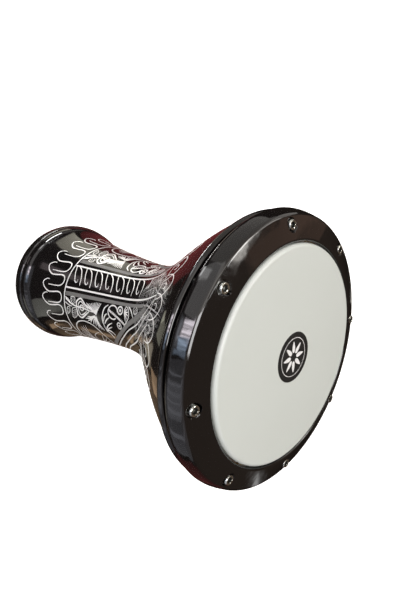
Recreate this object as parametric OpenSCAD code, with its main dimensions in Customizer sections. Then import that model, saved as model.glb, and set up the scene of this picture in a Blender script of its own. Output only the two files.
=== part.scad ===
// Darbuka, a goblet drum: a cast shell, a film head, and a tension ring that
// eight socket-head screws pull down onto the head's hoop.
// Z = 0 is the plane that the foot stands on, and the Z axis is the drum's axis.

/* [Shell] */
// Height from the foot's standing plane to the playing surface
drum_h = 444; // [436:1:452]
// Outer diameter of the foot's rolled rim
foot_d = 186.8; // [182:0.2:192]
// Outer diameter of the throat at its narrowest
throat_d = 120.2; // [116:0.2:124]
// Height of the narrowest point of the throat
throat_z = 222.7; // [214:0.1:230]
// Outer diameter of the bell where it meets the lip bead
bell_d = 271; // [268:0.5:272]
// Outer diameter of the lip bead below the ring
lip_d = 278.6; // [276:0.2:280]
// Wall thickness of the casting
wall = 3; // [2.4:0.1:3.4]

/* [Head] */
// Outer diameter of the collar that the film is drawn over
collar_d = 220; // [219:0.5:221]
// Radius of the rounded bearing edge on top of the collar
edge_r = 4; // [3:0.5:5]
// Thickness of the film
film_t = 0.25; // [0.19:0.01:0.3]
// Length of the film's skirt below the playing surface
skirt_drop = 12; // [11:0.5:13]
// Diameter of the printed disc at the middle of the head
decal_d = 51.2; // [40:0.2:60]

/* [Tension ring] */
// Inner diameter of the ring, around the head
ring_id = 224; // [223.5:0.5:225]
// Outer diameter of the ring at the foot of its skirt
ring_od = 282.4; // [281:0.2:284]
// Depth of the ring's skirt below the playing surface
ring_drop = 25; // [24:0.5:26]
// Tilt of the ring's face, falling outwards, in degrees
face_tilt = 17.2; // [14:0.1:18]

/* [Screws] */
// Number of tension screws
screws = 8; // [8:1:8]
// Pitch circle diameter of the screws
screw_pcd = 254.2; // [253.5:0.1:255]
// Thread diameter of the screws
thread_d = 6; // [6:1:6]
// Length of a screw below its head
screw_len = 35; // [34:0.5:36]

/* [Hidden] */
$fn = 96;
eps = 0.05;               // gap left between faces of parts that move past each other

// Foot: two rolled beads, then the flare starts
foot_r = foot_d / 2;
rim_seat_w = 5;           // width of the flat ring that the drum stands on
bead_split_z = 19;        // groove between the two beads
flare_z = 33.5;           // groove between the upper bead and the flare
flare_in = 6;             // the flare starts this far inside the rim
flare_r = foot_r - flare_in;

// Throat and bell
throat_r = throat_d / 2;
bell_r = bell_d / 2;
shelf_drop = 31;          // from the playing surface down to the lip's flat top
shelf_z = drum_h - shelf_drop;
shelf_t = 7.5;
lip_h = 9.5;
bell_top_z = shelf_z - lip_h;
lip_bead_r = 4;
lip_r = lip_d / 2;

// Collar and head
collar_r = collar_d / 2;
collar_wall = 6;
edge_c = [collar_r - edge_r, drum_h - film_t - eps - edge_r];
film_r = collar_r + eps + film_t;
decal_t = 0.12;

// Hoop: an aluminium channel around the film's edge
hoop_gap = 0.35;          // room between the film's skirt and the hoop
hoop_ri = film_r + hoop_gap;
hoop_w = 6.25;
hoop_ro = hoop_ri + hoop_w;
hoop_z = [drum_h - 16, drum_h - 8];
hoop_t = 1.2;
hoop_inner_drop = 1.4;    // the channel's inner wall is this much lower
resin_h = 4.4;

// Ring
ring_ri = ring_id / 2;
ring_ro = ring_od / 2;
ring_bottom = drum_h - ring_drop;
skirt_lap = 7.5;          // the skirt hangs this far below the ring's underside
ring_under = ring_bottom + skirt_lap;
ring_seat_gap = 0.5;      // room between the hoop and its seat in the ring
inner_r = 2;              // round of the inner edge
inner_drop = 3.4;
inner_c = [ring_ri + inner_r, drum_h - inner_drop];
corner_r = 5.5;           // round between face and skirt, up to this angle
corner_in = 8.5;
corner_end = 20;
skirt_foot_r = 1.9;
skirt_foot_c = [ring_ro - skirt_foot_r, ring_bottom + skirt_foot_r];

// The face is the tangent from the inner round to the corner round
face_dir = 90 - face_tilt;
corner_x = ring_ro - corner_in;
corner_c = [corner_x, inner_c[1]
    + (inner_r - corner_r - (corner_x - inner_c[0]) * cos(face_dir)) / sin(face_dir)];

// Screws, washers and inserts
pitch_r = screw_pcd / 2;
thread_r = thread_d / 2;
head_r = 5;
head_h = 6;
head_chamfer = 0.5;
end_chamfer = 0.6;
socket_af = 5;
socket_depth = 3;
shank_gap = 0.3;          // room around the shank in ring and shell
washer_r = 6;
washer_t = 1.2;
washer_gap = 0.2;
counterbore_depth = 11.5; // its floor, from the playing surface
counterbore_z = drum_h - counterbore_depth;
counterbore_r = 6.75;
screw_seat = counterbore_z + washer_t + eps;
insert_r = 4;
insert_len = 13;
boss_r = 7.5;
boss_in = 2.3;            // a boss's axis lies this much inside the screw's axis
boss_drop = 17;
boss_z = shelf_z - boss_drop;
boss_in_shelf = 3;        // the bosses end this far below the lip's top

// Points along an arc about c, from angle a0 to a1
function arc(c, r, a0, a1, n = 8) =
    [for (i = [0:n]) let (a = a0 + (a1 - a0) * i / n) c + r * [cos(a), sin(a)]];

// Points along a cubic curve with end points a, d and handles b, c
function curve(a, b, c, d, n = 14) =
    [for (i = [0:n]) let (s = i / n, q = 1 - s)
        q*q*q*a + 3*q*q*s*b + 3*q*s*s*c + s*s*s*d];

// The same points moved by d to the left of their direction of travel
function inset(p, d) =
    [for (i = [0:len(p) - 1])
        let (v = p[min(i + 1, len(p) - 1)] - p[max(i - 1, 0)])
        p[i] + d * [-v[1], v[0]] / norm(v)];

function reversed(p) = [for (i = [len(p) - 1:-1:0]) p[i]];
function but_first(p) = [for (i = [1:len(p) - 1]) p[i]];

// Outer line of the shell above the foot: flare, throat and bell
shell_line = concat(
    curve([flare_r, flare_z], [flare_r - 13.7, flare_z + 31.1],
          [throat_r, throat_z - 23.3], [throat_r, throat_z]),
    but_first(curve([throat_r, throat_z], [throat_r, throat_z + 36.8],
                    [throat_r + 7.1, throat_z + 59.5], [throat_r + 30.1, throat_z + 97.2])),
    but_first(curve([throat_r + 30.1, throat_z + 97.2], [throat_r + 60.3, throat_z + 146.7],
                    [bell_r - 7.2, bell_top_z - 18.9], [bell_r, bell_top_z])));

// The two beads of the foot, from the standing plane up to the flare
foot_line = concat(
    curve([foot_r - 3.8, 0], [foot_r - 0.8, 0.6], [foot_r, 5], [foot_r, 10], 8),
    but_first(curve([foot_r, 10], [foot_r, 14.5], [foot_r - 0.5, 17],
                    [foot_r - 1.5, bead_split_z - 0.4], 6)),
    [[foot_r - 2.4, bead_split_z + 0.2], [foot_r - 2.4, bead_split_z + 0.9]],
    curve([foot_r - 1.9, bead_split_z + 1.5], [foot_r - 2.2, bead_split_z + 6],
          [foot_r - 3.6, bead_split_z + 10], [foot_r - 5, flare_z - 2.2], 6),
    [[foot_r - 5.8, flare_z - 1.3], [flare_r - 0.4, flare_z - 0.5]]);

lip_line = concat(
    [[bell_r + 0.5, bell_top_z + 1.4]],
    arc([lip_r - lip_bead_r, shelf_z - 3.6], lip_bead_r, -65, 64, 10),
    [[lip_r - lip_bead_r + 1, shelf_z]]);

collar_line = concat(
    arc([collar_r + 1.5, shelf_z + 1.5], 1.5, 270, 180, 4),
    arc(edge_c, edge_r, 0, 90),
    [[collar_r - collar_wall + 0.4, edge_c[1] + edge_r - 1.2],
     [collar_r - collar_wall, edge_c[1] + edge_r - 2]]);

bore_line = concat(
    arc([collar_r - collar_wall + 3, shelf_z - shelf_t + 3], 3, 180, 270, 4),
    arc([bell_r - 11, shelf_z - shelf_t - 7], 7, 90, 25, 6),
    reversed([for (p = inset(shell_line, wall)) if (p[1] < shelf_z - shelf_t - 5) p]),
    [[foot_r - 8.8, 0.8], [foot_r - 3.8 - rim_seat_w, 0]]);

module shell() {
    color([0.02, 0.02, 0.022])
    difference() {
        union() {
            rotate_extrude()
                polygon(concat(foot_line, shell_line, lip_line, collar_line, bore_line));
            at_screws()
                translate([-boss_in, 0, boss_z]) cylinder(r = boss_r, h = boss_drop - boss_in_shelf);
        }
        at_screws() {
            translate([0, 0, shelf_z - insert_len]) cylinder(r = insert_r, h = insert_len + 1);
            translate([0, 0, boss_z - 1]) cylinder(r = thread_r + shank_gap, h = boss_drop + 2);
        }
    }
}

// Flat playing surface, drawn over the bearing edge and down the collar
module head_film() {
    inner = edge_r + eps;
    outer = inner + film_t;
    color([0.83, 0.83, 0.8])
    rotate_extrude()
        polygon(concat(
            [[0, drum_h - film_t]], arc(edge_c, inner, 90, 0),
            [[edge_c[0] + inner, drum_h - skirt_drop], [film_r, drum_h - skirt_drop]],
            arc(edge_c, outer, 0, 90), [[0, drum_h]]));
}

module centre_decal() {
    color([0.03, 0.03, 0.03])
    translate([0, 0, drum_h]) cylinder(d = decal_d, h = decal_t);
}

module head_hoop() {
    color([0.75, 0.76, 0.78])
    rotate_extrude()
        polygon([
            [hoop_ri, hoop_z[0]], [hoop_ro, hoop_z[0]],
            [hoop_ro, hoop_z[1]], [hoop_ro - hoop_t, hoop_z[1]],
            [hoop_ro - hoop_t, hoop_z[0] + hoop_t], [hoop_ri + hoop_t, hoop_z[0] + hoop_t],
            [hoop_ri + hoop_t, hoop_z[1] - hoop_inner_drop], [hoop_ri, hoop_z[1] - hoop_inner_drop]]);
}

// Resin bead that fills the hoop's channel and grips the film's edge
module hoop_resin() {
    color([0.8, 0.72, 0.5])
    rotate_extrude()
        translate([hoop_ri + hoop_t, hoop_z[0] + hoop_t])
            square([hoop_w - 2 * hoop_t, resin_h]);
}

// Face and skirt outside, seat for the hoop inside, and a counterbore at each screw
module tension_ring() {
    skirt_top = corner_c + corner_r * [cos(corner_end), sin(corner_end)];
    seat_r = hoop_ro + ring_seat_gap;
    color([0.02, 0.02, 0.022])
    difference() {
        rotate_extrude()
            polygon(concat(
                [[ring_ri, hoop_z[1]]],
                arc(inner_c, inner_r, 180, face_dir),
                arc(corner_c, corner_r, face_dir, corner_end),
                but_first(curve(skirt_top, skirt_top + [1.4, -3.9],
                                skirt_foot_c + [skirt_foot_r - 0.2, 4],
                                skirt_foot_c + [skirt_foot_r, 0], 8)),
                arc(skirt_foot_c, skirt_foot_r, -10, -90, 5),
                [[ring_ro - 3.1, ring_bottom], [ring_ro - 3.9, ring_bottom + 0.8],
                 [ring_ro - 6, ring_under], [seat_r + 0.7, ring_under],
                 [seat_r, ring_under + 0.8], [seat_r, hoop_z[1]]]));
        at_screws() {
            translate([0, 0, counterbore_z]) cylinder(r = counterbore_r, h = 2 * counterbore_depth);
            translate([0, 0, ring_under - 1]) cylinder(r = thread_r + shank_gap, h = counterbore_depth);
        }
    }
}

// M6 socket-head cap screw with its head towards +Z
module tension_screw() {
    color([0.8, 0.8, 0.8])
    translate([0, 0, screw_seat])
    difference() {
        union() {
            cylinder(r = head_r, h = head_h - head_chamfer);
            translate([0, 0, head_h - head_chamfer])
                cylinder(r1 = head_r, r2 = head_r - head_chamfer, h = head_chamfer);
            translate([0, 0, end_chamfer - screw_len]) cylinder(r = thread_r, h = screw_len);
            translate([0, 0, -screw_len])
                cylinder(r1 = thread_r - end_chamfer, r2 = thread_r, h = end_chamfer);
        }
        translate([0, 0, head_h - socket_depth])
            cylinder(r = socket_af / sqrt(3), h = socket_depth + 1, $fn = 6);
    }
}

module screw_washer() {
    color([0.7, 0.7, 0.7])
    translate([0, 0, counterbore_z])
    difference() {
        cylinder(r = washer_r, h = washer_t);
        translate([0, 0, -1]) cylinder(r = thread_r + washer_gap, h = washer_t + 2);
    }
}

// Threaded bush pressed into a boss; its bore is a running fit on the screw
module threaded_insert() {
    color([0.72, 0.6, 0.3])
    translate([0, 0, shelf_z - insert_len])
    difference() {
        cylinder(r = insert_r, h = insert_len);
        translate([0, 0, -1]) cylinder(r = thread_r + eps, h = insert_len + 2);
    }
}

// Places its children on the screw circle, all of them or number i alone
module at_screws(i = 0) {
    for (k = [1:screws])
        if (i == 0 || i == k)
            rotate([0, 0, (k - 1) * 360 / screws]) translate([pitch_r, 0, 0]) children();
}

shell();
head_film();
centre_decal();
head_hoop();
hoop_resin();
tension_ring();
for (i = [1:screws]) {
    at_screws(i) tension_screw();
    at_screws(i) screw_washer();
    at_screws(i) threaded_insert();
}
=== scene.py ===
"""Looks of a goblet drum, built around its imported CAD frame. The row frame is used as it is: +Z up.

Shell, film, printed disc, tension ring and screws are rebuilt as fine meshes on the outlines of their
CAD solids. The hoop, its resin, the washers and the inserts stay CAD solids with better materials.
Outlines and ornament are drawn in millimetres, as on a drawing, and become metres in the meshes.
"""

import math

import bmesh
import bpy
import numpy as np
from mathutils import Matrix, Vector


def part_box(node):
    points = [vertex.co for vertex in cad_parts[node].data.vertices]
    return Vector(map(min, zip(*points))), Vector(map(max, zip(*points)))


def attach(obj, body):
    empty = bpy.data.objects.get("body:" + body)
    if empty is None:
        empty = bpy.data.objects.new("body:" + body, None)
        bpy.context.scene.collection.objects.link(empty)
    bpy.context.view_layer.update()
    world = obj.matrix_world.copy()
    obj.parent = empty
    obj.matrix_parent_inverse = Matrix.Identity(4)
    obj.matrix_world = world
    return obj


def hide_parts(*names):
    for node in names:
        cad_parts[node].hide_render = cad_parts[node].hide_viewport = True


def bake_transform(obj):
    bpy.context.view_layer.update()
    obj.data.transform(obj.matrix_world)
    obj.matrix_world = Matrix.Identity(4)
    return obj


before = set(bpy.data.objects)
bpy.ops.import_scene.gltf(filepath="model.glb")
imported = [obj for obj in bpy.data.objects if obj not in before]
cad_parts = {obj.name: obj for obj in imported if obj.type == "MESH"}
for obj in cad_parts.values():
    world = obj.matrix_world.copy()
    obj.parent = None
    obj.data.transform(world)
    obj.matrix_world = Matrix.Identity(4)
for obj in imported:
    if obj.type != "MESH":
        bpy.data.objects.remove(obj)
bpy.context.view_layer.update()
MM = 0.001

# Shell, in millimetres
DRUM_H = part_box("head_film")[1].z / MM
FOOT_R = 93.4
THROAT_R = 60.1
THROAT_Z = 222.7
BELL_R = 135.5
LIP_R = 139.3
LIP_BEAD_R = 4
WALL = 3
BEAD_SPLIT_Z = 19
FLARE_Z = 33.5
FLARE_R = FOOT_R - 6
SHELF_Z = DRUM_H - 31
SHELF_T = 7.5
BELL_TOP_Z = SHELF_Z - 9.5

# Collar and film
COLLAR_R = 110
COLLAR_WALL = 6
EDGE_R = 4
FILM_T = 0.25
GAP = 0.05
SKIRT_DROP = 12
EDGE_C = (COLLAR_R - EDGE_R, DRUM_H - FILM_T - GAP - EDGE_R)

# Tension ring
RING_RI = 112
RING_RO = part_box("tension_ring")[1].x / MM
RING_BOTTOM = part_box("tension_ring")[0].z / MM
RING_UNDER = RING_BOTTOM + 7.5
FACE_DIR = 90 - 17.2
INNER_R = 2
INNER_C = (RING_RI + INNER_R, DRUM_H - 3.4)
CORNER_R = 5.5
CORNER_X = RING_RO - 8.5
CORNER_END = 20
SEAT_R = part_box("head_hoop")[1].x / MM + 0.5
SEAT_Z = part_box("head_hoop")[1].z / MM
SKIRT_FOOT_R = 1.9
SKIRT_FOOT_C = (RING_RO - SKIRT_FOOT_R, RING_BOTTOM + SKIRT_FOOT_R)

# Screws
SCREWS = 8
PITCH_R = 127.1
COUNTERBORE_R = 6.75
COUNTERBORE_Z = DRUM_H - 11.5
SHANK_R = 3
HOLE_R = SHANK_R + 0.3
INSERT_R = 4
INSERT_LEN = 13
BOSS_R = 7.5
BOSS_IN = 2.3
BOSS_Z = SHELF_Z - 17
HEAD_R = 5
HEAD_H = 6
SOCKET_FLATS = 5
SOCKET_DEPTH = 3
SOCKET_MOUTH_R = 3.25
SCREW_LEN = 35

# Multiples of this turn, in degrees, look random
ODD_TURN = 137


# ---------------------------------------------------------------- outlines


def cosd(degrees):
    return math.cos(math.radians(degrees))


def sind(degrees):
    return math.sin(math.radians(degrees))


def arc(c, r, a0, a1, n=16):
    """Points on a circle about c, from angle a0 to a1 in degrees."""
    turns = [a0 + (a1 - a0) * i / n for i in range(n + 1)]
    return [(c[0] + r * cosd(a), c[1] + r * sind(a)) for a in turns]


def curve(a, b, c, d, n=40):
    """Points on the cubic curve with end points a, d and handles b, c."""
    made = []
    for i in range(n + 1):
        s = i / n
        q = 1 - s
        weights = (q**3, 3 * q * q * s, 3 * q * s * s, s**3)
        made.append(tuple(sum(w * p[k] for w, p in zip(weights, (a, b, c, d))) for k in (0, 1)))
    return made


def inset(points, d):
    """The points moved by d to the left of their direction of travel."""
    made = []
    for i, (x, y) in enumerate(points):
        ahead, behind = points[min(i + 1, len(points) - 1)], points[max(i - 1, 0)]
        vx, vy = ahead[0] - behind[0], ahead[1] - behind[1]
        length = math.hypot(vx, vy)
        made.append((x - d * vy / length, y + d * vx / length))
    return made


def goblet_line():
    """Outer line above the foot: flare, throat and bell."""
    join = (THROAT_R + 30.1, THROAT_Z + 97.2)
    throat = (THROAT_R, THROAT_Z)
    return (
        curve((FLARE_R, FLARE_Z), (FLARE_R - 13.7, FLARE_Z + 31.1), (THROAT_R, THROAT_Z - 23.3), throat)
        + curve(throat, (THROAT_R, THROAT_Z + 36.8), (THROAT_R + 7.1, THROAT_Z + 59.5), join)[1:]
        + curve(join, (THROAT_R + 60.3, THROAT_Z + 146.7), (BELL_R - 7.2, BELL_TOP_Z - 18.9),
                (BELL_R, BELL_TOP_Z))[1:]
    )


def foot_line():
    """The rim's two rolled beads and the groove between each and what follows."""
    r, z = FOOT_R, BEAD_SPLIT_Z
    return (
        curve((r - 3.8, 0), (r - 0.8, 0.6), (r, 5), (r, 10), 12)
        + curve((r, 10), (r, 14.5), (r - 0.5, 17), (r - 1.5, z - 0.4), 10)[1:]
        + [(r - 1.9, z - 0.1), (r - 2.4, z + 0.2), (r - 2.4, z + 0.9), (r - 2.1, z + 1.2)]
        + curve((r - 1.9, z + 1.5), (r - 2.2, z + 6), (r - 3.6, z + 10), (r - 5, FLARE_Z - 2.2), 10)
        + [(r - 5.4, FLARE_Z - 1.7), (r - 5.8, FLARE_Z - 1.3), (FLARE_R - 0.4, FLARE_Z - 0.5)]
    )


def lip_and_collar_line():
    """The lip's bead, the flat shelf, and the collar up to its rounded bearing edge."""
    inside = COLLAR_R - COLLAR_WALL
    return (
        [(BELL_R + 0.5, BELL_TOP_Z + 1.4)]
        + arc((LIP_R - LIP_BEAD_R, SHELF_Z - 3.6), LIP_BEAD_R, -65, 64)
        + [(LIP_R - LIP_BEAD_R + 1, SHELF_Z)]
        + arc((COLLAR_R + 1.5, SHELF_Z + 1.5), 1.5, 270, 180, 6)
        + arc(EDGE_C, EDGE_R, 0, 90, 12)
        + [(inside + 0.4, EDGE_C[1] + EDGE_R - 1.2), (inside, EDGE_C[1] + EDGE_R - 2)]
    )


def bore_line():
    """Inside of the casting, from the collar down to the rim."""
    under_shelf = SHELF_Z - SHELF_T
    wall = [p for p in inset(goblet_line(), WALL) if p[1] < under_shelf - 5]
    return (
        arc((COLLAR_R - COLLAR_WALL + 3, under_shelf + 3), 3, 180, 270, 6)
        + arc((BELL_R - 11, under_shelf - 7), 7, 90, 25, 8)
        + wall[::-1]
        + [(FOOT_R - 8.8, 0.8), (FOOT_R - 8.8, 0)]
    )


def ring_line():
    """Tension ring, from the seat's inner edge over face, corner and skirt, back to the hoop's seat."""
    drop = (INNER_R - CORNER_R - (CORNER_X - INNER_C[0]) * cosd(FACE_DIR)) / sind(FACE_DIR)
    corner_c = (CORNER_X, INNER_C[1] + drop)
    face = arc(INNER_C, INNER_R, 180, FACE_DIR, 12) + arc(corner_c, CORNER_R, FACE_DIR, CORNER_END)
    top, foot = face[-1], SKIRT_FOOT_C
    skirt = curve(top, (top[0] + 1.4, top[1] - 3.9), (foot[0] + SKIRT_FOOT_R - 0.2, foot[1] + 4),
                  (foot[0] + SKIRT_FOOT_R, foot[1]), 16)
    return (
        [(RING_RI, SEAT_Z)]
        + face
        + skirt[1:]
        + arc(foot, SKIRT_FOOT_R, -10, -90, 8)
        + [(RING_RO - 3.1, RING_BOTTOM), (RING_RO - 3.9, RING_BOTTOM + 0.8), (RING_RO - 6, RING_UNDER)]
        + [(SEAT_R + 0.7, RING_UNDER), (SEAT_R, RING_UNDER + 0.8), (SEAT_R, SEAT_Z)]
    )


def film_line():
    """The flat film, drawn over the bearing edge and down the collar."""
    inner = EDGE_R + GAP
    outer = inner + FILM_T
    low = DRUM_H - SKIRT_DROP
    return (
        [(0, DRUM_H - FILM_T)]
        + arc(EDGE_C, inner, 90, 0)
        + [(EDGE_C[0] + inner, low), (EDGE_C[0] + outer, low)]
        + arc(EDGE_C, outer, 0, 90)
        + [(0, DRUM_H)]
    )


# ---------------------------------------------------------------- meshes


def add_object(name, verts, faces, materials=(), indices=None):
    """A mesh object; indices says which material each face takes."""
    mesh = bpy.data.meshes.new(name)
    mesh.from_pydata([tuple(v) for v in verts], [], [tuple(f) for f in faces])
    for material in materials:
        mesh.materials.append(material)
    if indices is not None:
        mesh.polygons.foreach_set("material_index", indices)
    made = bpy.data.objects.new(name, mesh)
    bpy.context.scene.collection.objects.link(made)
    return made


def smooth(piece, crease=30):
    """Smooth shading with a sharp edge wherever two faces meet at more than the crease angle."""
    piece.data.shade_smooth()
    piece.data.set_sharp_from_angle(angle=math.radians(crease))


def turned(name, line, materials=(), zone=None, segments=288):
    """A closed solid of revolution on an outline of (r, z) points; zone(i) picks segment i's material."""
    turn = np.linspace(0, 2 * math.pi, segments, endpoint=False)
    line = outwards(line)
    verts, starts = [], []
    for r, z in line:
        starts.append(len(verts))
        if r == 0:
            verts.append((0, 0, z * MM))
        else:
            verts += [(r * MM * math.cos(a), r * MM * math.sin(a), z * MM) for a in turn]
    faces, indices = [], []
    for i in range(len(line)):
        j = (i + 1) % len(line)
        if line[i][0] == 0 and line[j][0] == 0:
            continue
        for k in range(segments):
            n = (k + 1) % segments
            low = [starts[i]] if line[i][0] == 0 else [starts[i] + k, starts[i] + n]
            high = [starts[j]] if line[j][0] == 0 else [starts[j] + n, starts[j] + k]
            faces.append(low + high)
            indices.append(zone(i) if zone else 0)
    made = add_object(name, verts, faces, materials, indices)
    smooth(made)
    return made


def lofted(name, rings, materials=(), index=0):
    """A closed solid through rings of equally many points, capped at both ends."""
    n = len(rings[0])
    verts = [p for ring in rings for p in ring]
    faces = [tuple(range(n))[::-1], tuple(range(len(verts) - n, len(verts)))]
    for i in range(len(rings) - 1):
        for k in range(n):
            m = (k + 1) % n
            faces.append((i * n + k, i * n + m, (i + 1) * n + m, (i + 1) * n + k))
    return add_object(name, verts, faces, materials, [index] * len(faces))


def around_screws():
    """Angle of each screw in degrees."""
    return [360 * k / SCREWS for k in range(SCREWS)]


def tools(shapes, index):
    """One object out of many lofted shapes, as a cutter or an addition whose faces get a material index."""
    verts, faces = [], []
    for rings in shapes:
        n, base = len(rings[0]), len(verts)
        verts += [p for ring in rings for p in ring]
        faces.append(tuple(base + k for k in range(n))[::-1])
        faces.append(tuple(len(verts) - n + k for k in range(n)))
        for i in range(base, len(verts) - n, n):
            faces += [(i + k, i + (k + 1) % n, i + n + (k + 1) % n, i + n + k) for k in range(n)]
    return add_object("tool", verts, faces, [None] * (index + 1), [index] * len(faces))


def combine(piece, tool, operation):
    """Exact boolean of piece with tool, which is then removed."""
    modifier = piece.modifiers.new("combine", "BOOLEAN")
    modifier.operation = operation
    modifier.object = tool
    modifier.solver = "EXACT"
    graph = bpy.context.evaluated_depsgraph_get()
    mesh = bpy.data.meshes.new_from_object(piece.evaluated_get(graph))
    piece.modifiers.clear()
    piece.data = mesh
    bpy.data.objects.remove(tool)


def outwards(line):
    """The outline turned anticlockwise, so that its outer side is on the right of travel."""
    area = sum(a[0] * b[1] - b[0] * a[1] for a, b in zip(line, line[1:] + line[:1]))
    return line if area > 0 else line[::-1]


def true_normals(piece, line, own, crease=30):
    """Faces of the turned surface, whose material index is below own, get their outline's exact normals."""
    points = np.array(outwards(line))
    along = np.roll(points, -1, axis=0) - points
    length = np.maximum(np.linalg.norm(along, axis=1), 1e-9)
    flat = np.stack([along[:, 1], -along[:, 0]], 1) / length[:, None]
    soft = (flat * np.roll(flat, 1, axis=0)).sum(1) > cosd(crease)
    first = np.where(soft[:, None], flat + np.roll(flat, 1, axis=0), 2 * flat)
    last = np.where(np.roll(soft, -1)[:, None], flat + np.roll(flat, -1, axis=0), 2 * flat)
    mesh = piece.data
    normals = [n.vector.copy() for n in mesh.corner_normals]
    for polygon in mesh.polygons:
        if polygon.material_index >= own:
            continue
        x, y, z = polygon.center / MM
        centre = (math.hypot(x, y), z)
        share = np.clip(((centre - points) * along).sum(1) / length**2, 0, 1)
        i = int(np.argmin(np.linalg.norm(points + share[:, None] * along - centre, axis=1)))
        for loop in polygon.loop_indices:
            x, y, z = mesh.vertices[mesh.loops[loop].vertex_index].co / MM
            r = math.hypot(x, y)
            t = np.clip(((r, z) - points[i]) @ along[i] / length[i] ** 2, 0, 1)
            n = first[i] * (1 - t) + last[i] * t
            if r > 0:
                normals[loop] = Vector((n[0] * x / r, n[0] * y / r, n[1])).normalized()
    mesh.normals_split_custom_set(normals)


# ---------------------------------------------------------------- materials


def feed(tree, socket, value):
    """Links a socket to the output it is given, or sets it to the value."""
    if isinstance(value, bpy.types.NodeSocket):
        tree.links.new(value, socket)
    else:
        socket.default_value = value


def node_in(tree, kind, **sockets):
    """A new node in a tree, with each socket named fed its value."""
    made = tree.nodes.new(kind)
    for name, value in sockets.items():
        feed(tree, made.inputs[name.replace("_", " ")], value)
    return made


def mix_in(tree, share, first, second):
    """A colour that goes from first to second as share goes from 0 to 1."""
    made = node_in(tree, "ShaderNodeMix")
    made.data_type = "RGBA"
    for index, value in ((0, share), (6, first), (7, second)):
        feed(tree, made.inputs[index], value)
    return made.outputs[2]


def range_in(tree, value, low, high, start, end, interpolation="LINEAR"):
    """Maps start..end of value to low..high."""
    made = node_in(tree, "ShaderNodeMapRange", Value=value, From_Min=start, From_Max=end, To_Min=low,
                   To_Max=high)
    made.interpolation_type = interpolation
    return made.outputs[0]


class Finish:
    """A Principled material under construction, with short calls for its texture nodes."""

    def __init__(self, name, colour, metallic=0.0, roughness=0.5):
        self.material = bpy.data.materials.new(name)
        self.material.use_nodes = True
        self.tree = self.material.node_tree
        self.shader = self.tree.nodes["Principled BSDF"]
        self.shader.inputs["Base Color"].default_value = (*colour, 1)
        self.shader.inputs["Metallic"].default_value = metallic
        self.shader.inputs["Roughness"].default_value = roughness
        self.place = self.tree.nodes.new("ShaderNodeTexCoord").outputs["Object"]
        self.relief = None

    def node(self, kind, **sockets):
        """A new node in this material."""
        return node_in(self.tree, kind, **sockets)

    def noise(self, scale, detail=2.0, roughness=0.5, stretch=(1, 1, 1)):
        """Noise with about scale bumps to the metre."""
        moved = self.node("ShaderNodeMapping", Vector=self.place, Scale=stretch)
        made = self.node("ShaderNodeTexNoise", Vector=moved.outputs[0], Scale=scale, Detail=detail,
                         Roughness=roughness)
        return made.outputs["Fac"]

    def between(self, noise, low, high):
        """Maps the range that noise mostly keeps to, 0.3 to 0.7, to low..high."""
        return range_in(self.tree, noise, low, high, 0.3, 0.7)

    def mix(self, share, first, second):
        """A colour between two of (red, green, blue)."""
        return mix_in(self.tree, share, (*first, 1), (*second, 1))

    def drive(self, socket, value):
        """Links an output to one of the shader's sockets."""
        self.tree.links.new(value, self.shader.inputs[socket])

    def bump(self, height, depth):
        """Adds relief of the given depth in metres."""
        made = self.node("ShaderNodeBump", Height=height, Distance=depth)
        if self.relief:
            self.tree.links.new(self.relief, made.inputs["Normal"])
        self.relief = made.outputs[0]
        self.drive("Normal", self.relief)


def black_lacquer(name, waves):
    """Baked gloss lacquer: slow waves of the casting, to a depth in metres, and faint orange peel."""
    paint = Finish(name, (0.004, 0.0036, 0.0036), roughness=0.08)
    paint.shader.inputs["Coat Weight"].default_value = 0.6
    paint.shader.inputs["Coat Roughness"].default_value = 0.03
    paint.drive("Roughness", paint.between(paint.noise(60, 3), 0.05, 0.12))
    paint.bump(paint.noise(42, 1), waves)
    paint.bump(paint.noise(90, 1), waves / 2)
    paint.bump(paint.noise(300, 1), 0.000001)
    return paint.material


def raw_casting():
    """Unpainted sand-cast aluminium inside the shell, dull and grainy."""
    cast = Finish("raw_casting", (0.42, 0.42, 0.41), metallic=0.85, roughness=0.55)
    grain = cast.noise(900, 4, 0.65)
    cast.drive("Base Color", cast.mix(cast.noise(35, 3), (0.3, 0.3, 0.29), (0.5, 0.5, 0.49)))
    cast.drive("Roughness", cast.between(grain, 0.45, 0.7))
    cast.bump(grain, 0.0003)
    return cast.material


def bright_cut():
    """Aluminium laid bare by the graver: bright, with fine cutter marks."""
    cut = Finish("bright_cut_aluminium", (0.9, 0.89, 0.86), metallic=0.55, roughness=0.38)
    marks = cut.noise(2500, 2)
    cut.drive("Roughness", cut.between(marks, 0.28, 0.5))
    cut.bump(marks, 0.00008)
    return cut.material


def milky_film():
    """Frosted polyester film: matt grain on a milky body, with faint handling marks."""
    film = Finish("milky_film", (0.552, 0.582, 0.548), roughness=0.36)
    grain = film.noise(3800, 2)
    patches = film.noise(14, 3)
    film.drive("Base Color", film.mix(patches, (0.54, 0.57, 0.536), (0.564, 0.594, 0.56)))
    film.drive("Roughness", film.between(patches, 0.35, 0.38))
    film.bump(grain, 0.00004)
    return film.material


def printed_vinyl():
    """Matt black sticker."""
    vinyl = Finish("black_vinyl", (0.012, 0.012, 0.012), roughness=0.4)
    grain = vinyl.noise(3000, 2)
    vinyl.drive("Roughness", vinyl.between(grain, 0.34, 0.5))
    vinyl.bump(grain, 0.00002)
    return vinyl.material


def white_print():
    """White ink of the sticker's mark."""
    ink = Finish("white_print", (0.75, 0.75, 0.74), roughness=0.5)
    grain = ink.noise(4000, 2)
    ink.drive("Base Color", ink.mix(grain, (0.68, 0.68, 0.67), (0.8, 0.8, 0.79)))
    return ink.material


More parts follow.
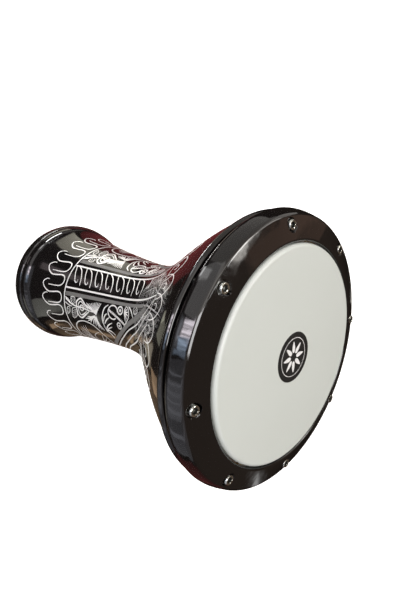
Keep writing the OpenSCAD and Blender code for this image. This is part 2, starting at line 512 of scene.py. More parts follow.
def nickel_plate():
    """Bright nickel on steel with faint handling haze."""
    nickel = Finish("nickel_plate", (0.74, 0.75, 0.69), metallic=1.0, roughness=0.16)
    haze = nickel.noise(500, 3)
    nickel.drive("Roughness", nickel.between(haze, 0.1, 0.24))
    nickel.bump(haze, 0.00002)
    return nickel.material


def socket_painted_shade():
    """Dark steel inside a screw's socket: painted shade, standing in for the shade down in the socket."""
    steel = Finish("socket_painted_shade", (0.06, 0.062, 0.055), metallic=0.8, roughness=0.35)
    steel.bump(steel.noise(900, 2), 0.00002)
    return steel.material


def turned_metal(name, colour, roughness):
    """Lathe-turned metal, with rings about Z."""
    metal = Finish(name, colour, metallic=1.0, roughness=roughness)
    rings = metal.noise(900, 2, stretch=(0.1, 0.1, 3))
    metal.drive("Roughness", metal.between(rings, roughness * 0.75, roughness * 1.3))
    metal.bump(rings, 0.00003)
    return metal.material


def fine_cut():
    """Cuts so fine and close that they read as grey."""
    fine = Finish("fine_cut_aluminium", (0.17, 0.167, 0.16), metallic=0.4, roughness=0.5)
    marks = fine.noise(1600, 3)
    fine.drive("Base Color", fine.mix(marks, (0.11, 0.108, 0.1), (0.23, 0.227, 0.215)))
    fine.bump(marks, 0.00008)
    return fine.material


def cast_resin():
    """Cloudy amber resin that grips the film in its hoop."""
    resin = Finish("amber_resin", (0.55, 0.38, 0.14), roughness=0.2)
    cloud = resin.noise(120, 3)
    resin.drive("Base Color", resin.mix(cloud, (0.5, 0.33, 0.11), (0.62, 0.46, 0.2)))
    return resin.material


# ---------------------------------------------------------------- stage, light and camera


def build_camera():
    """The photograph's view: from above the head's near side, rolled so that the drum leans right."""
    lens_per_height = 410.8 / 601
    place = (0.0921, -0.3466, 0.6435)
    heading, pitch, roll = -20.23, -42.43, 105.25
    data = bpy.data.cameras.new("camera")
    data.sensor_width = 36
    data.lens = data.sensor_width * lens_per_height
    data.shift_x, data.shift_y = -0.0146, -0.0034
    data.clip_start, data.clip_end = 0.01, 50
    camera = bpy.data.objects.new("camera", data)
    forward = Vector((sind(heading) * cosd(pitch), cosd(heading) * cosd(pitch), sind(pitch)))
    turn = forward.to_track_quat("-Z", "Y").to_matrix() @ Matrix.Rotation(math.radians(roll), 3, "Z")
    camera.matrix_world = Matrix.Translation(place) @ turn.to_4x4()
    bpy.context.scene.collection.objects.link(camera)
    bpy.context.scene.camera = camera


def build_stage():
    """A white floor, lit through so that shadows stay faint. The lacquer doesn't mirror it."""
    pale = Finish("pale_floor", (0.93, 0.93, 0.93), roughness=0.9)
    pale.drive("Base Color", pale.mix(pale.noise(5, 2), (0.92, 0.92, 0.92), (0.94, 0.94, 0.94)))
    pale.shader.inputs["Emission Color"].default_value = (1, 1, 1, 1)
    pale.shader.inputs["Emission Strength"].default_value = 0.6
    reach, low = 6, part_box("shell")[0].z
    corners = [(-reach, -reach, low), (reach, -reach, low), (reach, reach, low), (-reach, reach, low)]
    floor = add_object("floor", corners, [(0, 1, 2, 3)], [pale.material])
    floor.visible_glossy = floor.visible_shadow = False
    bpy.context.scene.view_settings.view_transform = "Standard"


def build_world():
    """A dim brown room, darker below; only the camera sees it white, as the floor's backdrop."""
    world = bpy.data.worlds.new("studio")
    bpy.context.scene.world = world
    world.use_nodes = True
    tree = world.node_tree

    direction = node_in(tree, "ShaderNodeTexCoord").outputs["Generated"]
    height = node_in(tree, "ShaderNodeSeparateXYZ", Vector=direction).outputs["Z"]
    up = range_in(tree, height, 0.0, 1.0, 0.0, 0.9)
    room = mix_in(tree, up, (0.018, 0.013, 0.01, 1), (0.16, 0.115, 0.085, 1))
    to_camera = node_in(tree, "ShaderNodeLightPath").outputs["Is Camera Ray"]
    seen = mix_in(tree, to_camera, room, (1, 1, 1, 1))
    tree.links.new(seen, tree.nodes["Background"].inputs["Color"])


def fade_edges(data, fade, folds):
    """Fades a light over a share of its width at each edge, and dims it in folds like a curtain's."""
    data.use_nodes = True
    tree = data.node_tree

    def calculate(operation, first, second):
        made = node_in(tree, "ShaderNodeMath")
        made.operation = operation
        feed(tree, made.inputs[0], first)
        feed(tree, made.inputs[1], second)
        return made.outputs[0]

    on_light = node_in(tree, "ShaderNodeNewGeometry").outputs["Parametric"]
    spot = node_in(tree, "ShaderNodeSeparateXYZ", Vector=on_light).outputs
    from_edge = [calculate("PINGPONG", spot[axis], 0.5) for axis in "XY"]
    across, up = (range_in(tree, share, 0.0, 1.0, 0.0, fade, "SMOOTHSTEP") for share in from_edge)
    strength = calculate("MULTIPLY", across, up)
    if folds:
        cloth = node_in(tree, "ShaderNodeTexNoise", Scale=folds)
        cloth.noise_dimensions = "1D"
        feed(tree, cloth.inputs["W"], spot["X"])
        darkest = 0.25
        shade = range_in(tree, cloth.outputs["Fac"], darkest, 1.0, 0.38, 0.58, "SMOOTHSTEP")
        strength = calculate("MULTIPLY", strength, shade)
    feed(tree, tree.nodes["Emission"].inputs["Strength"], strength)


def softbox(name, azimuth, elevation, size, radiance, colour=(1, 1, 1), seen_from=(0, 0, 0.25), far=6,
            fade=0.0, folds=0):
    """A rectangular light at a direction and of a size (across, up) as seen from a point, in degrees.

    It may fade at its edges and hang in folds, as fade_edges says.
    """
    towards = Vector((cosd(azimuth) * cosd(elevation), sind(azimuth) * cosd(elevation), sind(elevation)))
    data = bpy.data.lights.new(name, "AREA")
    data.shape = "RECTANGLE"
    data.size, data.size_y = (2 * far * math.tan(math.radians(angle / 2)) for angle in size)
    data.energy = radiance * math.pi * data.size * data.size_y
    data.color = colour
    if fade:
        fade_edges(data, fade, folds)
    light = bpy.data.objects.new(name, data)
    place = Vector(seen_from) + far * towards
    light.matrix_world = Matrix.Translation(place) @ (-towards).to_track_quat("-Z", "Y").to_matrix().to_4x4()
    bpy.context.scene.collection.objects.link(light)


def build_lights():
    """Tall windows at the camera's left, pale walls beside them, and dim coloured walls round and below."""
    grey, lilac, blue, dusk = (1, 0.96, 0.9), (1, 0.92, 1), (0.62, 0.77, 1), (0.88, 0.9, 1)
    brown, gold, maroon, green = (1, 0.6, 0.44), (1, 0.68, 0.42), (1, 0.14, 0.17), (1, 0.98, 0.78)
    # walls
    softbox("wall_back", 172, 32, (20, 66), 0.75, grey)
    softbox("wall_left", -148, 18, (62, 92), 0.42, grey)
    softbox("wall_front", -99, 20, (46, 84), 0.75, (1, 0.98, 0.97))
    softbox("wall_right", -12, 10, (76, 85), 0.26, dusk)
    softbox("curtain", -19, 4, (26, 60), 0.34, dusk)
    softbox("ceiling", -120, 68, (40, 34), 0.4, grey)
    softbox("ceiling_lamp", -125, 62, (44, 5), 2.4, grey, fade=0.15)
    slits = ((-38.5, 1.5, 0.8), (-32, 2, 0.5), (-25, 3, 0.25), (-19, 1.5, 0.4), (-12, 3, 0.35),
             (6.5, 4, 0.4))
    for k, (azimuth, width, radiance) in enumerate(slits, 1):
        softbox(f"slit_{k}", azimuth, 6, (width, 62), radiance, dusk)
    # windows and what shines beside them
    softbox("window_1", -70, 9, (14, 44), 10.5, lilac, fade=0.14, folds=7)
    softbox("window_2", -58.5, -1, (8.5, 26), 5.5, blue, fade=0.2, folds=4)
    softbox("window_2_high", -60, 19, (9, 22), 1.4, blue, fade=0.2)
    softbox("window_3", -53.2, 0, (4, 50), 1.5, blue, fade=0.2)
    softbox("window_sill", -62, -27, (30, 8), 0.3, dusk)
    softbox("window_low", -66, -18, (24, 15), 1.5, dusk, fade=0.3)
    softbox("window_frame", -63, 2, (3, 40), 2.0, blue, fade=0.12)
    softbox("skylight", -66, 66, (22, 34), 7.5)
    softbox("strip_left", -109, -15, (9, 20), 1.4)
    softbox("strip_left_low", -110, -29, (8, 9), 5, seen_from=(-0.05, -0.13, 0.425), far=1.2)
    # far lamps and the walls behind the drum
    softbox("brown_back", 146, 34, (14, 50), 0.12, brown)
    softbox("brown_back_near", 149, 38, (8, 36), 0.12, brown)
    softbox("lamp_back", 176, 56, (20, 18), 6.5, grey, fade=0.15)
    softbox("lamp_back_core", 169, 60, (6, 12), 10)
    softbox("lamp_back_tail", 168, 39, (9, 18), 2, grey, fade=0.2)
    softbox("lamp_above", 162, 76, (3, 6), 8)
    softbox("strip_far", 121.5, -8, (7, 8), 0.5, grey)
    softbox("lamp_far", 75, 11, (6.5, 24), 0.25, fade=0.45)
    softbox("lamp_far_core", 75, 10.5, (2.8, 15), 0.55, fade=0.45)
    # below
    softbox("block_low", -149, -45, (29, 15), 0.97, (1, 0.95, 0.79))
    softbox("strip_low", -85, -43, (9, 10), 0.5, (1, 0.84, 0.86))
    softbox("grey_low", -8, -41, (26, 14), 0.5, (1, 1, 0.9))
    softbox("green_low", 55, -83, (12, 9), 0.34, green)
    softbox("green_low_core", 85, -86, (4, 4), 0.6, green)
    softbox("gold_low", 50, -54, (40, 16), 0.1, gold)
    softbox("gold_low_1", 50, -62, (11, 8), 0.45, gold)
    softbox("gold_low_2", 76, -68, (9, 10), 0.36, (1, 0.88, 0.68))
    softbox("gold_foot", 36, -48.5, (8, 4), 0.55, gold)
    softbox("maroon_low", 150, -58, (45, 34), 0.15, maroon)
    softbox("maroon_right", 45, -10, (30, 50), 0.08, maroon)
    softbox("lamp_foot", -134, -21, (28, 6), 28, seen_from=(-0.036, -0.083, 0.028), far=0.5)


# ---------------------------------------------------------------- pieces


def plug(turn, centre_r, sections, slope=0.0):
    """Rings of a round plug at one screw: sections are (radius, height); heights fall outwards by slope."""
    sides = 64
    rings = []
    for radius, z in sections:
        ring = []
        for a in np.arange(sides) * 360 / sides:
            x, y = radius * cosd(a), radius * sind(a)
            place = ((centre_r + x) * MM, y * MM, (z - slope * x) * MM)
            ring.append((place[0] * cosd(turn) - place[1] * sind(turn),
                         place[0] * sind(turn) + place[1] * cosd(turn), place[2]))
        rings.append(ring)
    return rings


def build_shell(paint, cast):
    """The casting: painted outside, raw inside, with a boss and a stepped hole at each screw."""
    outside = foot_line() + goblet_line() + lip_and_collar_line()
    line = outside + bore_line()
    shell = turned("cast_shell", line, (paint, cast), lambda i: int(i >= len(outside)))
    turns = around_screws()
    boss = ((BOSS_R - 0.4, BOSS_Z), (BOSS_R, BOSS_Z + 0.6), (BOSS_R, SHELF_Z - 3))
    step_z = SHELF_Z - INSERT_LEN
    hole = ((HOLE_R, BOSS_Z - 1), (HOLE_R, step_z), (INSERT_R, step_z), (INSERT_R, SHELF_Z + 1))
    bosses = [plug(a, PITCH_R - BOSS_IN, boss) for a in turns]
    holes = [plug(a, PITCH_R, hole) for a in turns]
    combine(shell, tools(bosses, 2), "UNION")
    combine(shell, tools(holes, 2), "DIFFERENCE")
    finish_cuts(shell, line, (paint, cast, cast))
    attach(shell, "shell")
    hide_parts("shell")


def finish_cuts(piece, line, materials):
    """After booleans: materials by index, creases, and true normals on the turned faces."""
    piece.data.materials.clear()
    for material in materials:
        piece.data.materials.append(material)
    smooth(piece)
    true_normals(piece, line, own=len(materials) - 1)


def build_ring(paint):
    """Tension ring with a chamfered counterbore and a clearance hole at each screw."""
    line = ring_line()
    ring = turned("ring_casting", line, (paint,))
    slope = math.tan(math.radians(90 - FACE_DIR))
    run = PITCH_R - INNER_C[0] - INNER_R * cosd(FACE_DIR)
    face_z = INNER_C[1] + INNER_R * sind(FACE_DIR) - slope * run
    bore, chamfer = COUNTERBORE_R, 0.55
    turns = around_screws()
    hole = ((HOLE_R, RING_UNDER - 1), (HOLE_R, COUNTERBORE_Z), (bore, COUNTERBORE_Z), (bore, DRUM_H + 9))
    rim = ((bore - 0.1, face_z - chamfer), (bore + chamfer, face_z + 0.1), (bore + chamfer + 3, face_z + 3))
    bores = [plug(a, PITCH_R, hole) for a in turns]
    rims = [plug(a, PITCH_R, rim, slope) for a in turns]
    combine(ring, tools(bores, 1), "DIFFERENCE")
    combine(ring, tools(rims, 1), "DIFFERENCE")
    finish_cuts(ring, line, (paint, paint))
    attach(ring, "ring")
    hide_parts("tension_ring")


def build_film(material):
    """The film as one turned piece, flat over the head and drawn down over the bearing edge; it is left
    without a parent.
    """
    film = turned("stretched_film", film_line(), (material,))
    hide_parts("head_film")
    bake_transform(film)


def joined(name, parts):
    """One object out of several."""
    merged = bmesh.new()
    for part in parts:
        merged.from_mesh(part.data)
    mesh = bpy.data.meshes.new(name)
    merged.to_mesh(mesh)
    merged.free()
    for material in parts[0].data.materials:
        mesh.materials.append(material)
    for part in parts:
        bpy.data.objects.remove(part)
    made = bpy.data.objects.new(name, mesh)
    bpy.context.scene.collection.objects.link(made)
    return made


def round_section(radius, z, sides, teeth=0, depth=0.0):
    """A ring of points; teeth cut V grooves of the given depth into it."""
    ring = []
    for k in range(sides):
        tooth = abs((k * teeth / sides) % 1 - 0.5) * 2 if teeth else 0
        r = radius - depth * tooth
        ring.append((r * cosd(360 * k / sides), r * sind(360 * k / sides), z))
    return ring


def hexagon_section(across_flats, z, sides):
    """A hexagon drawn with many points, so that it joins a round section."""
    ring = []
    for k in range(sides):
        a = 360 * k / sides
        r = across_flats / 2 / cosd((a + 30) % 60 - 30)
        ring.append((r * cosd(a), r * sind(a), z))
    return ring


def screw_head(seat):
    """Knurled head with a chamfered top and a hexagon socket."""
    n, teeth, depth = 144, 36, 0.22
    grip, top = HEAD_R - 0.02, seat + HEAD_H
    rings = [
        round_section(HEAD_R - 0.3, seat, n),
        round_section(HEAD_R - depth, seat + 0.35, n),
        round_section(grip, seat + 0.7, n, teeth, depth),
        round_section(grip, top - 0.85, n, teeth, depth),
        round_section(HEAD_R - depth, top - 0.5, n),
        round_section(HEAD_R - 0.42, top - 0.12, n),
        round_section(HEAD_R - 0.62, top, n),
        round_section(SOCKET_MOUTH_R, top, n),
        hexagon_section(SOCKET_FLATS + 0.15, top - 0.25, n),
        hexagon_section(SOCKET_FLATS, top - 0.4, n),
        hexagon_section(SOCKET_FLATS, top - SOCKET_DEPTH, n),
        round_section(1.2, top - SOCKET_DEPTH - 0.9, n),
    ]
    return [[(x * MM, y * MM, z * MM) for x, y, z in ring] for ring in rings]


def paint_socket_shade(head, seat):
    """Second material, a painted shade darker than the plating, on the faces inside the socket."""
    for face in head.data.polygons:
        centre = face.center / MM
        from_axis = math.hypot(centre.x, centre.y)
        face.material_index = int(centre.z > seat and from_axis < SOCKET_MOUTH_R - 0.3)


def screw_shank(seat):
    """Plain neck, then a thread of 1 mm pitch down to a chamfered end."""
    n, pitch, steps = 24, 1.0, 4
    crest, depth, neck = SHANK_R - 0.03, 0.5, 11
    end = seat - SCREW_LEN
    rings = [round_section(crest, seat + 0.3, n), round_section(crest, seat - neck, n)]
    for i in range(1, int((SCREW_LEN - neck - 0.6) * steps / pitch)):
        z = seat - neck - i * pitch / steps
        ring = []
        for k in range(n):
            turn = (k / n + z / pitch) % 1
            r = crest - depth * abs(turn - 0.5) * 2 * min(1, i / steps)
            ring.append((r * cosd(360 * k / n), r * sind(360 * k / n), z))
        rings.append(ring)
    rings += [round_section(crest - depth, end + 0.5, n), round_section(crest - depth - 0.3, end, n)]
    return [[(x * MM, y * MM, z * MM) for x, y, z in ring] for ring in rings]


def build_screws(material, socket):
    """Socket-head screws, each turned about its own axis as it came to rest."""
    for k in range(1, SCREWS + 1):
        low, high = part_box(f"tension_screw_{k}")
        seat = high.z / MM - HEAD_H
        head = lofted("head", screw_head(seat), (material, socket))
        # The faces inside the socket take the second material, a painted shade.
        paint_socket_shade(head, seat)
        shank = lofted("shank", screw_shank(seat), (material, socket))
        screw = joined(f"cap_screw_{k}", (head, shank))
        twist = Matrix.Rotation(math.radians(ODD_TURN * k), 4, "Z")
        place = Matrix.Translation(((low.x + high.x) / 2, (low.y + high.y) / 2, 0))
        screw.data.transform(place @ twist)
        facing_out(screw)
        smooth(screw)
        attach(screw, f"tension_screw_{k}")
        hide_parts(f"tension_screw_{k}")


def facing_out(piece):
    """Turns every face of a closed piece outwards."""
    mesh = bmesh.new()
    mesh.from_mesh(piece.data)
    bmesh.ops.recalc_face_normals(mesh, faces=mesh.faces)
    mesh.to_mesh(piece.data)
    mesh.free()


def build_decal(vinyl, print_white):
    """Printed disc with a generic mark: a thin ring around an eight-petal rosette."""
    low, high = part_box("centre_decal")
    z, r = low.z / MM, high.x / MM
    t = (high.z - low.z) / MM
    top, ink = z + t, 0.02
    looks = (vinyl, print_white)
    disc_line = [(0, z), (r, z), (r, z + t * 0.6), (r - 0.06, z + t * 0.9), (r - 0.2, top), (0, top)]
    disc = turned("disc", disc_line, looks, segments=192)
    ring_ri, ring_ro = 19.4, 20
    mark_line = [(ring_ri, top), (ring_ro, top), (ring_ro, top + ink), (ring_ri, top + ink)]
    ring = turned("ring", mark_line, looks, lambda i: 1, segments=192)
    count, middle, half_length, half_width, narrowing = 8, 10.5, 6, 2.1, 0.45
    oval_line = arc((0, 0), 1, 0, 360, 24)[:-1]
    shape = [(middle + half_length * x, half_width * y * (1 - narrowing * x)) for x, y in oval_line]
    parts = [disc, ring]
    for k in range(count):
        c, s = cosd(360 * k / count), sind(360 * k / count)
        rings = [[((x * c - y * s) * MM, (x * s + y * c) * MM, h * MM) for x, y in shape]
                 for h in (top, top + ink)]
        parts.append(lofted("petal", rings, looks, 1))
    decal = joined("printed_disc", parts)
    facing_out(decal)
    smooth(decal)
    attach(decal, "shell")
    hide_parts("centre_decal")


def dress_cad_nodes(looks):
    """Better materials for the nodes that keep their CAD shape."""
    for name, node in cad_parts.items():
        for prefix, material in looks.items():
            if name.startswith(prefix):
                node.data.materials.clear()
                node.data.materials.append(material)


# ---------------------------------------------------------------- engraved ornament
#
# Drawn on the unrolled shell. A point is (across, z): across is in degrees round the drum, from the middle
# of the nearest ladder band, and z is the height in millimetres. The whole drawing leans as it rises.

BANDS = 2
BAND_ANGLE = -81
BAND_FOOT = 120
LEAN = -0.0685
BAND_TURNS = [360 * k / BANDS for k in range(BANDS)]
HALF_WAY = 180 / BANDS
PANEL_FOOT = 116.5

GOBLET = np.array(goblet_line())
SLOPE = np.gradient(GOBLET[:, 0], GOBLET[:, 1])


def on_shell(angle, z, lift):
    """Points in metres, lift millimetres above the shell's surface."""
    slope = np.interp(z, GOBLET[:, 1], SLOPE)
    length = np.sqrt(1 + slope**2)
    r = np.interp(z, GOBLET[:, 1], GOBLET[:, 0]) + lift / length
    turn = np.radians(angle)
    return np.stack([r * np.cos(turn), r * np.sin(turn), z - lift * slope / length], -1) * MM


def through(points, per_span):
    """A smooth line through the control points (Catmull-Rom)."""
    p = np.array(points, float)
    p = np.vstack([2 * p[0] - p[1], p, 2 * p[-1] - p[-2]])
    t = np.linspace(0, 1, per_span, endpoint=False)[:, None]
    spans = []
    for a, b, c, d in zip(p, p[1:], p[2:], p[3:]):
        bend, twist = 2 * a - 5 * b + 4 * c - d, 3 * b - a - 3 * c + d
        spans.append(0.5 * (2 * b + (c - a) * t + bend * t**2 + twist * t**3))
    return np.vstack(spans + [p[-2:-1]])


class Engraving:
    """Cut lines gathered into one mesh. Each line is a low closed ridge, sunk into the wall."""

    # the ridge's section, as shares of its half width and millimetres above the wall
    section = ((-1, -0.3), (1, -0.3), (1, 0.0), (0.6, 0.1), (-0.6, 0.1), (-1, 0.0))

    def __init__(self):
        self.verts, self.faces, self.count = [], [], 0

    def line(self, points, width, taper=(1, 1), per_span=6, copies=(0,)):
        """A cut along points (angle, z), width in millimetres, narrowing to the taper shares at its ends."""
        path = through(points, per_span)
        along = np.linspace(0, 1, len(path))
        narrow_share = 0.35
        ends = np.minimum(1, np.stack([along, 1 - along]) / narrow_share) ** 0.7
        share = (taper[0] + (1 - taper[0]) * ends[0]) * (taper[1] + (1 - taper[1]) * ends[1])
        r = np.interp(path[:, 1], GOBLET[:, 1], GOBLET[:, 0])
        stretch = np.sqrt(1 + np.interp(path[:, 1], GOBLET[:, 1], SLOPE) ** 2)
        per_degree = r * math.pi / 180
        run = np.gradient(path, axis=0) * np.stack([per_degree, stretch], 1)
        run /= np.maximum(np.linalg.norm(run, axis=1), 1e-9)[:, None]
        side = np.stack([-run[:, 1] / per_degree, run[:, 0] / stretch], 1) * (share * width / 2)[:, None]
        rings = [on_shell(path[:, 0] + w * side[:, 0], path[:, 1] + w * side[:, 1], lift)
                 for w, lift in self.section]
        ring = np.stack(rings, 1)
        for turn in copies:
            c, s = cosd(turn), sind(turn)
            self.add(ring @ np.array([[c, s, 0], [-s, c, 0], [0, 0, 1]]))

    def add(self, ring):
        """One capped tube through n rings of m points."""
        n, m = ring.shape[:2]
        base = self.count
        self.verts.append(ring.reshape(-1, 3))
        self.count += n * m
        for low in range(base, base + (n - 1) * m, m):
            for k in range(m):
                j = (k + 1) % m
                self.faces.append((low + k, low + j, low + m + j, low + m + k))
        self.faces.append(tuple(base + k for k in range(m))[::-1])
        self.faces.append(tuple(base + (n - 1) * m + k for k in range(m)))

    def finished(self, name, material):
        """The gathered cuts as one piece of the shell."""
        made = add_object(name, np.vstack(self.verts), self.faces, (material,))
        facing_out(made)
        smooth(made, 40)
        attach(made, "shell")


def band_middle(z):
    """Angle of the first ladder band's middle at a height."""
    return BAND_ANGLE + LEAN * (z - BAND_FOOT)


def placed(points, side=1):
    """Drawing points as (angle, z), mirrored about the band when side is -1."""
    return [(band_middle(z) + side * s, z) for s, z in points]


def both_sides(cuts, points, width, taper=(1, 1), per_span=6):
    """A cut and its mirror image, at each ladder band."""
    for side in (1, -1):
        cuts.line(placed(points, side), width, taper, per_span, BAND_TURNS)


def level_ring(cuts, z, width):
    """A cut right round the shell."""
    cuts.line([(a, z) for a in range(0, 361, 5)], width, per_span=2)


def engrave_meander(cuts):
    """Hooks above the foot, each out of a cup round the end of the one before, and a ring over them."""
    periods, first, uneven = 20, -73.5, 0.1
    step = 360 / periods
    hook = ((-0.9, 78), (-0.86, 72), (-0.64, 66), (-0.36, 69.5), (-0.16, 79), (-0.21, 91), (-0.29, 101),
            (-0.23, 107.5), (0, 110), (0.26, 107.5), (0.4, 101), (0.46, 90), (0.49, 78))
    for k in range(periods):
        turn = step * (k + uneven * sind(ODD_TURN * k)) + first
        cuts.line([(turn + step * x, z) for x, z in hook], 1.8, (0.5, 0.5), 5)
    level_ring(cuts, PANEL_FOOT, 1.9)


def engrave_band(cuts):
    """The ladder band: two heavy edges with hooks and bars between them."""
    edge, foot, top = 13.4, 118, 341
    first, rise, rungs = 134, 21.3, 7
    for side in (1, -1):
        line = [(edge, foot), (edge + 0.3, 180), (edge, 240), (edge - 0.8, 290), (edge, top)]
        cuts.line(placed(line, side), 2.3, (1, 0.6), 12, BAND_TURNS)
    hook = ((-12.6, -13), (-8.5, -10.5), (-4.5, -8.5), (1, -5), (5, -2), (6.6, 0.8), (5.6, 2.9), (2.6, 2.6))
    bar = ((-12.4, -6), (-9, 0.3), (-4, 5), (2, 8.6), (9.4, 10.4))
    for k in range(rungs):
        z = first + rise * k
        cuts.line(placed([(s, z + h) for s, h in hook]), 1.35, (0.7, 0.25), 5, BAND_TURNS)
        cuts.line(placed([(s, z + h) for s, h in bar]), 1.35, (0.8, 0.6), 5, BAND_TURNS)
    last = first + rise * rungs + 8
    cuts.line(placed([(s, last + h) for s, h in hook[:4]]), 1.3, (0.7, 0.3), 5, BAND_TURNS)


def engrave_haze(cuts):
    """Short slanted cuts that fill the band's top."""
    rows, in_row, apart = 7, 5, 4.2
    for row in range(rows):
        for k in range(in_row):
            s = -9 + apart * k + apart / 2 * (row % 2)
            z = 292 + apart * row + 0.35 * s
            cuts.line(placed([(s, z), (s + 2.8, z + 3.4)]), 0.8, (0.4, 0.4), 3, BAND_TURNS)


def strip(cuts, inner, outer, count, width):
    """Cuts side by side that fill the strip between two drawing lines."""
    for k in range(count):
        share = k / (count - 1)
        line = np.array(inner) * (1 - share) + np.array(outer) * share
        both_sides(cuts, line, width, per_span=8)


ROPE = (
    [(16.5, 342), (24.5, 316), (33, 294), (45.7, 261), (63.8, 234), (78, 215), (HALF_WAY, 199)],
    [(22.5, 342), (30, 317), (42.5, 287), (51.2, 268), (69.3, 240), (78.5, 228), (HALF_WAY, 214)],
    [(30.5, 342), (39.3, 313), (48, 294), (56.7, 275), (69.9, 250), (79, 238), (HALF_WAY, 224)],
)


def engrave_rope(cuts):
    """Three lines that fall from the bell to meet between the bands."""
    for points, width in zip(ROPE, (1.6, 1.4, 1.6)):
        both_sides(cuts, points, width, (0.7, 1), 8)


def engrave_frames(cuts):
    """Grey strips beside the band and under the rope, which frame the panels."""
    inner = [(18.6, 119), (18.9, 180), (18.2, 250), (16.8, 300)]
    outer = [(22.2, 119), (22, 180), (20.8, 250), (19.2, 300)]
    strip(cuts, inner, outer, 4, 1.15)
    inner, outer = ([(s - gap, z) for s, z in ROPE[0][1:]] for gap in (9.5, 4.5))
    strip(cuts, inner, outer, 5, 1.2)


def petals(cuts, root, tips, width, bend=0.0, taper=(0.5, 0.35)):
    """Cuts that fan out from a root to each tip, bowed by bend."""
    for s, z in tips:
        across, up = s - root[0], z - root[1]
        middle = (root[0] + (across - bend * up) / 2, root[1] + (up + bend * across) / 2)
        both_sides(cuts, [root, middle, (s, z)], width, taper, 5)


def oval(cuts, centre, size, width, a0=0, a1=360):
    """An oval, or the part of one between two angles."""
    points = [(centre[0] + size[0] * x, centre[1] + size[1] * y) for x, y in arc((0, 0), 1, a0, a1, 14)]
    both_sides(cuts, points, width, per_span=3)


def leaf(cuts, start, end, bow, width=1.0, veins=0):
    """A pointed leaf: two bowed edges and slanted veins."""
    start, end = np.array(start, float), np.array(end, float)
    along = end - start
    across = np.array([-along[1], along[0]])
    for sign in (1, -1):
        belly = across * bow * sign
        points = [start, start + along * 0.3 + belly, start + along * 0.65 + belly * 0.85, end]
        both_sides(cuts, points, width, (0.5, 0.5), 5)
    for k in range(veins):
        t = (k + 1) / (veins + 1)
        root = start + along * t
        for sign in (1, -1):
            reach = across * bow * sign * 0.75 * math.sin(math.pi * t) ** 0.6
            both_sides(cuts, [root, root + reach + along * 0.12], width * 0.6, (0.6, 0.4), 3)


def engrave_flowers(cuts):
    """A spray on each side of a band: stem and bud, a feathered fan over it, and a blossom on top."""
    stems_and_bud = (
        ([(37, 180), (36, 168), (34, 155), (34, 146), (31.6, 133), (26.3, 120)], 2.0, (0.6, 1)),
        ([(34.6, 134), (33.5, 127), (30.6, 119)], 1.6, (0.4, 1)),
        ([(30.5, 131), (27, 126), (24.5, 119)], 1.6, (0.4, 1)),
        ([(36.5, 171), (30, 163), (23.6, 153), (27.8, 144.5), (33.6, 144)], 2.3, (0.5, 0.8)),
        ([(37.5, 171), (42, 163), (47, 152.5), (44, 145.5), (35, 144)], 2.3, (0.5, 0.8)),
        ([(35.8, 166), (30.5, 160), (27, 153.5), (30, 148.5), (34, 148)], 1.5, (0.5, 0.8)),
        ([(37.6, 166), (41, 160), (43.4, 153), (40.5, 148.8), (35, 148)], 1.5, (0.5, 0.8)),
    )
    calyx_and_crest = (
        ([(24.4, 211), (29, 204), (36.9, 200), (45.6, 198.5), (58, 201)], 2.0, (0.4, 0.6)),
        ([(35.2, 209), (38.6, 204.4), (46, 200)], 1.7, (0.4, 0.6)),
        ([(39.3, 214), (43.2, 207.6), (49, 202)], 1.7, (0.4, 0.6)),
        ([(45.6, 219), (49.4, 210.3), (54.8, 204), (60.5, 201)], 1.7, (0.4, 0.6)),
        ([(51.3, 217), (55.3, 207.6), (59.3, 203)], 1.7, (0.4, 0.6)),
        ([(57.8, 203.5), (58.3, 211.6), (63, 218)], 1.8, (0.8, 0.3)),
        ([(59.5, 203), (63, 208), (69, 211)], 1.7, (0.8, 0.3)),
        ([(19.8, 252), (23, 260), (26.5, 266), (31, 272)], 2.0, (0.5, 0.4)),
        ([(20.6, 246), (24, 255), (31, 259), (38, 254.5), (43, 249)], 1.5, (0.6, 0.6)),
    )
    for points, width, taper in stems_and_bud + calyx_and_crest:
        both_sides(cuts, points, width, taper)
    # leaves at the stem's foot, and one over the crest
    leaf(cuts, (29.5, 141), (23.6, 131), 0.35, 0.9, 3)
    leaf(cuts, (35.5, 143), (49.5, 131), 0.28, 0.9, 5)
    leaf(cuts, (35, 128), (45, 119.5), 0.22, 0.9, 2)
    leaf(cuts, (22.4, 268), (24.5, 284), 0.2, 0.9, 2)
    # feathered fan
    feathers = [(24.6 + 0.7 * max(0, k - 3), 196 - 3.3 * k) for k in range(9)]
    petals(cuts, (40, 186), feathers, 1.15, 0.05, (0.7, 0.7))
    petals(cuts, (38.6, 184), [(27.5, 166), (29.5, 163.5), (32, 166.5)], 1.8, -0.08, (0.7, 0.5))
    broad = [(60, 196), (59, 191), (57.5, 186), (55.6, 180.5), (53.6, 175.5), (51.6, 170)]
    petals(cuts, (42, 186), broad, 1.7, -0.18, (0.6, 0.4))
    petals(cuts, (41, 184), [(49.6, 165), (47, 161), (44, 166)], 2.0, 0.12)
    # fan between the blossom and its crest
    upper = [(22.5, 248), (24, 252.5), (27, 256), (31, 257), (35, 254.5), (38.6, 251.5)]
    petals(cuts, (29.5, 247), upper, 1.8, 0.1, (0.7, 0.5))
    # heart of the bud, open disc of the blossom, and two small rounds beside its twisted bar
    oval(cuts, (34.4, 155.5), (3.2, 4.2), 1.6)
    oval(cuts, (32, 221.5), (8.3, 10), 1.7, 100, 400)
    oval(cuts, (27.6, 237), (4.4, 5.4), 2.0)
    oval(cuts, (27.6, 237), (1, 1.2), 1.8)
    oval(cuts, (46.4, 235), (3.8, 4.6), 1.5)
    oval(cuts, (46.4, 235), (0.9, 1.1), 1.2)
    bar_start, bar_end, strands = (30.6, 213), (42.5, 248), 13
    for place in np.linspace(bar_start, bar_end, strands):
        both_sides(cuts, [place + (-1.6, 0.6), place + (1.8, 1.6)], 2.1, (0.8, 0.8), 3)


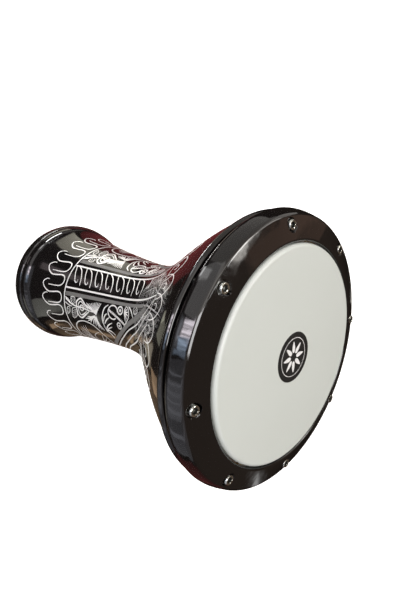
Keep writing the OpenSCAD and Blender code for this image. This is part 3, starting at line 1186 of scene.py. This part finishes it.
def engrave_medallion(cuts):
    """A round panel between two sprays, with a fan of cuts above and below."""
    rim = [(HALF_WAY, 193), (76, 190.5), (64.5, 184), (56, 174), (51.8, 159), (52.3, 145), (57, 132.5),
           (66.5, 124.5), (78, 121.5), (HALF_WAY, 120.5)]
    sill = [(65.5, 178), (70, 166), (75.5, 158), (84, 153), (HALF_WAY, 152)]
    upper = [(70, 181), (76, 184), (82, 186.5), (87.6, 188)]
    lower = [(58, 152), (59, 146), (61.5, 140), (65.5, 134), (71, 129.5), (77.5, 126.8), (84, 125.8)]
    both_sides(cuts, rim, 1.7, per_span=5)
    both_sides(cuts, sill, 1.1, (0.4, 1), 5)
    petals(cuts, (HALF_WAY, 160), upper, 1.1, -0.12)
    petals(cuts, (HALF_WAY, 146), lower, 1.1, 0.08)


def engrave_bell(cuts):
    """Interlaced arches round the bell, each over a small curl, and leaves under them beside the rope."""
    arches, first, base, high = 33, -76.5, 345, 377.5
    step = 360 / arches
    arch = ((-7.2, base), (-6.4, 357), (-4.2, 370), (0, high), (4.2, 370), (6.4, 357), (7.2, base))
    curl = ((-1.6, 350), (-1.4, 358), (0.2, 362.5), (1.8, 359.5), (1.4, 355.5))
    for k in range(arches):
        middle = first + step * k
        cuts.line([(middle + s, z) for s, z in arch], 1.5, (0.6, 0.6), 5)
        cuts.line([(middle + s, z) for s, z in curl], 1.0, (0.5, 0.5), 4)
    level_ring(cuts, base - 2, 1.0)
    leaves = (((44, 318), (52, 333)), ((55, 296), (66, 318)), ((68, 276), (82, 300)),
              ((60, 330), (76, 338)), ((84, 252), (88, 280)), ((80, 318), (89, 336)))
    for start, end in leaves:
        leaf(cuts, start, end, 0.2, 1.0, 3)


def engrave(bright, fine):
    """The ornament as four pieces, in two kinds of cut."""
    pieces = (
        ("engraved_bands", bright, (engrave_meander, engrave_band)),
        ("engraved_rope", bright, (engrave_rope,)),
        ("engraved_flowers", bright, (engrave_flowers, engrave_medallion, engrave_bell)),
        ("engraved_frames", fine, (engrave_haze, engrave_frames)),
    )
    for name, material, parts in pieces:
        cuts = Engraving()
        for part in parts:
            part(cuts)
        cuts.finished(name, material)


# ---------------------------------------------------------------- assembly

paint, cast = black_lacquer("shell_lacquer", 0.00012), raw_casting()
build_camera()
build_stage()
build_world()
build_lights()
build_shell(paint, cast)
build_ring(black_lacquer("ring_lacquer", 0.00055))
build_film(milky_film())
build_decal(printed_vinyl(), white_print())
# The screws' second material is painted shade down in their sockets.
build_screws(nickel_plate(), socket_painted_shade())
engrave(bright_cut(), fine_cut())
dress_cad_nodes({
    "head_hoop": turned_metal("turned_aluminium", (0.78, 0.78, 0.79), 0.3),
    "hoop_resin": cast_resin(),
    "screw_washer": turned_metal("zinc_plate", (0.55, 0.56, 0.58), 0.32),
    "threaded_insert": turned_metal("machined_brass", (0.75, 0.57, 0.28), 0.25),
})
